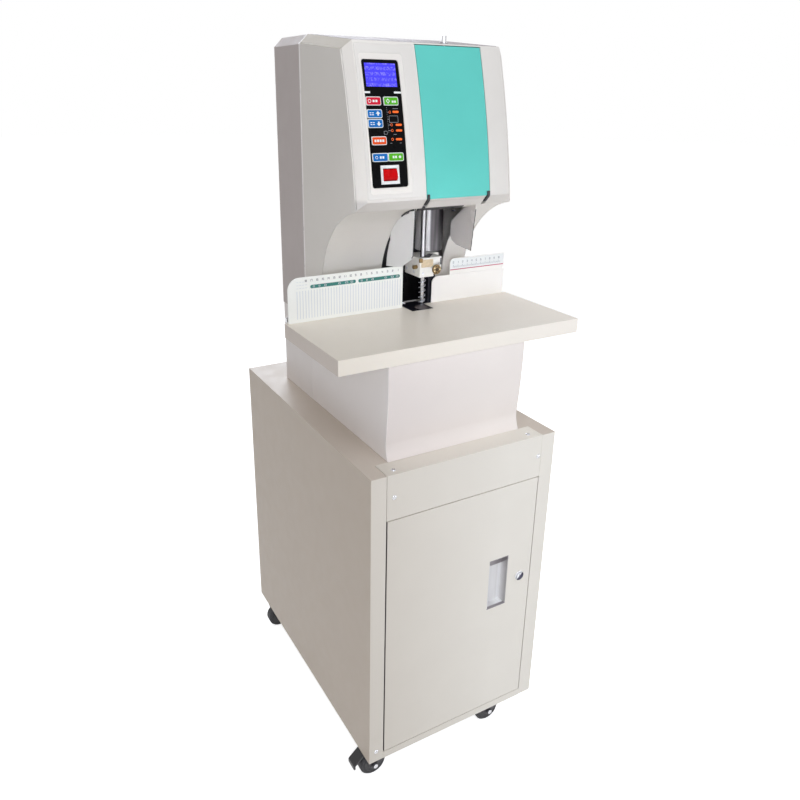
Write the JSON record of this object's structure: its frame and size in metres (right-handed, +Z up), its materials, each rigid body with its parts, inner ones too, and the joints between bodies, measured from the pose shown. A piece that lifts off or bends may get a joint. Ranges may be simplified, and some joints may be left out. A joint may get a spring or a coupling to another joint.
{
  "type": "document riveting machine",
  "caption": "Floor-standing binding machine that drills a paper stack and rivets it with plastic tube, with a worktable, fences, keypad, hinged cover and a wheeled cabinet.",
  "frame": {"origin": "on the floor, below the middle of the whole machine's box", "axes": "+X to the operator's right, -Y towards the operator, +Z up"},
  "size_m": [0.445, 0.523, 1.225],
  "materials": {
    "cabinet_paint": "fine textured powder coat",
    "cup_steel": "satin",
    "bright_steel": "polished",
    "fork_steel": "gloss black",
    "wheel_rubber": "matt",
    "black_plastic": "matt",
    "housing_plastic": "fine textured",
    "panel_black": "semi matt",
    "display_glass": "gloss",
    "white_plastic": "gloss",
    "red_plastic": "gloss",
    "green_plastic": "gloss",
    "blue_plastic": "gloss",
    "orange_plastic": "gloss",
    "table_paint": "fine textured powder coat",
    "frame_iron": "painted grey",
    "black_steel": "blackened",
    "motor_steel": "dark",
    "carriage_aluminium": "machined",
    "white_paint": "satin",
    "brass": "machined",
    "clear_plastic": "clear",
    "teal_plastic": "semi matt"
  },
  "bodies": {
    "stand": {"cabinet_wrap": "cabinet_paint", "cabinet_floor": "cabinet_paint", "cabinet_back": "cabinet_paint", "front_cover": "cabinet_paint", "cabinet_shelf": "cabinet_paint", "caster_plates": "bright_steel", "base_shell": "housing_plastic", "rear_shell": "housing_plastic", "front_shell": "housing_plastic", "head_side_left": "housing_plastic", "head_side_right": "housing_plastic", "control_panel": "panel_black", "display_window": "display_glass", "rocker_bezel": "white_plastic", "worktable": "table_paint", "left_fence": "table_paint", "right_fence": "table_paint", "scale_plate": "table_paint", "fence_bar": "bright_steel", "machine_frame": "frame_iron", "guide_rods": "bright_steel", "die_block": "black_steel", "lift_motor": "motor_steel", "drill_guards": "clear_plastic", "tube_inlet": "bright_steel", "power_socket": "panel_black", "cabinet_screws": "bright_steel"},
    "door": {"door_panel": "cabinet_paint", "door_cup": "cup_steel", "lock_barrel": "bright_steel"},
    "door_cam": {"lock_cam": "bright_steel"},
    "pad": {"drill_pad": "white_plastic"},
    "cover": {"tube_cover": "teal_plastic", "cover_arms": "panel_black"},
    "rocker": {"rocker": "red_plastic"},
    "carriage": {"carriage": "carriage_aluminium", "drill_motor": "motor_steel"},
    "spindle": {"spindle": "bright_steel", "hollow_drill": "bright_steel"},
    "lift_screw": {"lift_screw": "bright_steel"},
    "foot": {"press_foot": "white_paint", "brass_fittings": "brass", "return_spring": "bright_steel"},
    "swivel_front_left": {"caster_fork_front_left": "fork_steel"},
    "wheel_front_left": {"caster_wheel_front_left": "wheel_rubber"},
    "brake_front_left": {"brake_pedal_front_left": "black_plastic"},
    "swivel_front_right": {"caster_fork_front_right": "fork_steel"},
    "wheel_front_right": {"caster_wheel_front_right": "wheel_rubber"},
    "brake_front_right": {"brake_pedal_front_right": "black_plastic"},
    "swivel_rear_left": {"caster_fork_rear_left": "fork_steel"},
    "wheel_rear_left": {"caster_wheel_rear_left": "wheel_rubber"},
    "swivel_rear_right": {"caster_fork_rear_right": "fork_steel"},
    "wheel_rear_right": {"caster_wheel_rear_right": "wheel_rubber"},
    "key_stop": {"key_stop": "red_plastic"},
    "key_start": {"key_start": "green_plastic"},
    "key_up": {"key_up": "blue_plastic"},
    "key_down": {"key_down": "blue_plastic"},
    "key_test": {"key_test": "orange_plastic"},
    "key_drill_mode": {"key_drill_mode": "blue_plastic"},
    "key_rivet_mode": {"key_rivet_mode": "green_plastic"}
  },
  "joints": [
    {"name": "door_hinge", "type": "hinge", "parent": "stand", "child": "door", "pos_m": [-0.1555, -0.2535, 0.3455], "axis": [0, 0, -1], "range_deg": [0, 110]},
    {"name": "door_lock", "type": "hinge", "parent": "door", "child": "door_cam", "pos_m": [0.1075, -0.2412, 0.3455], "axis": [0, -1, 0], "range_deg": [0, 90]},
    {"name": "front_left_swivel", "type": "hinge", "parent": "stand", "child": "swivel_front_left", "pos_m": [-0.14, -0.2185, 0.0607], "axis": [0, 0, 1], "continuous": true},
    {"name": "front_left_roll", "type": "hinge", "parent": "swivel_front_left", "child": "wheel_front_left", "pos_m": [-0.165, -0.2185, 0.025], "axis": [0, 1, 0], "continuous": true},
    {"name": "front_left_brake", "type": "hinge", "parent": "swivel_front_left", "child": "brake_front_left", "pos_m": [-0.177, -0.2185, 0.0522], "axis": [0, -1, 0], "range_deg": [0, 8]},
    {"name": "front_right_swivel", "type": "hinge", "parent": "stand", "child": "swivel_front_right", "pos_m": [0.11, -0.2185, 0.0607], "axis": [0, 0, 1], "continuous": true},
    {"name": "front_right_roll", "type": "hinge", "parent": "swivel_front_right", "child": "wheel_front_right", "pos_m": [0.085, -0.2185, 0.025], "axis": [0, 1, 0], "continuous": true},
    {"name": "front_right_brake", "type": "hinge", "parent": "swivel_front_right", "child": "brake_front_right", "pos_m": [0.073, -0.2185, 0.0522], "axis": [0, -1, 0], "range_deg": [0, 8]},
    {"name": "rear_left_swivel", "type": "hinge", "parent": "stand", "child": "swivel_rear_left", "pos_m": [-0.14, 0.2215, 0.0607], "axis": [0, 0, 1], "continuous": true},
    {"name": "rear_left_roll", "type": "hinge", "parent": "swivel_rear_left", "child": "wheel_rear_left", "pos_m": [-0.165, 0.2215, 0.025], "axis": [0, 1, 0], "continuous": true},
    {"name": "rear_right_swivel", "type": "hinge", "parent": "stand", "child": "swivel_rear_right", "pos_m": [0.11, 0.2215, 0.0607], "axis": [0, 0, 1], "continuous": true},
    {"name": "rear_right_roll", "type": "hinge", "parent": "swivel_rear_right", "child": "wheel_rear_right", "pos_m": [0.085, 0.2215, 0.025], "axis": [0, 1, 0], "continuous": true},
    {"name": "pad_turn", "type": "hinge", "parent": "stand", "child": "pad", "pos_m": [0.025, -0.0435, 0.7858], "axis": [0, 0, 1], "continuous": true},
    {"name": "cover_hinge", "type": "hinge", "parent": "stand", "child": "cover", "pos_m": [0.034, -0.1175, 0.983], "axis": [1, 0, 0], "range_deg": [0, 95]},
    {"name": "power_rocker", "type": "hinge", "parent": "stand", "child": "rocker", "pos_m": [-0.0872, -0.11905, 1.02673], "axis": [1, 0, 0], "range_deg": [0, 18]},
    {"name": "key_stop_press", "type": "slide", "parent": "stand", "child": "key_stop", "axis": [0, 0.9716, -0.2364], "range_m": [0, 0.0006], "stiffness_N_per_m": 800, "springref_m": -0.0002},
    {"name": "key_start_press", "type": "slide", "parent": "stand", "child": "key_start", "axis": [0, 0.9716, -0.2364], "range_m": [0, 0.0006], "stiffness_N_per_m": 800, "springref_m": -0.0002},
    {"name": "key_up_press", "type": "slide", "parent": "stand", "child": "key_up", "axis": [0, 0.9747, -0.2236], "range_m": [0, 0.0006], "stiffness_N_per_m": 800, "springref_m": -0.0002},
    {"name": "key_down_press", "type": "slide", "parent": "stand", "child": "key_down", "axis": [0, 0.9769, -0.2138], "range_m": [0, 0.0006], "stiffness_N_per_m": 800, "springref_m": -0.0002},
    {"name": "key_test_press", "type": "slide", "parent": "stand", "child": "key_test", "axis": [0, 0.9805, -0.1963], "range_m": [0, 0.0006], "stiffness_N_per_m": 800, "springref_m": -0.0002},
    {"name": "key_drill_mode_press", "type": "slide", "parent": "stand", "child": "key_drill_mode", "axis": [0, 0.9838, -0.1792], "range_m": [0, 0.0006], "stiffness_N_per_m": 800, "springref_m": -0.0002},
    {"name": "key_rivet_mode_press", "type": "slide", "parent": "stand", "child": "key_rivet_mode", "axis": [0, 0.9838, -0.1792], "range_m": [0, 0.0006], "stiffness_N_per_m": 800, "springref_m": -0.0002},
    {"name": "carriage_slide", "type": "slide", "parent": "stand", "child": "carriage", "axis": [0, 0, -1], "range_m": [0, 0.056]},
    {"name": "lift_screw_turn", "type": "hinge", "parent": "stand", "child": "lift_screw", "pos_m": [0.065, 0.0015, 0.985], "axis": [0, 0, 1], "range_deg": [0, 4032.01]},
    {"name": "spindle_spin", "type": "hinge", "parent": "carriage", "child": "spindle", "pos_m": [0.025, -0.0435, 1.09], "axis": [0, 0, 1], "continuous": true},
    {"name": "foot_slide", "type": "slide", "parent": "stand", "child": "foot", "axis": [0, 0, -1], "range_m": [0, 0.05209], "deforming": ["return_spring"]}
  ],
  "couplings": [
    {"joint": "lift_screw_turn", "follows": "carriage_slide", "rad_per_m": 1256.6},
    {"joint": "foot_slide", "follows": "carriage_slide", "ratio": 0.93}
  ]
}
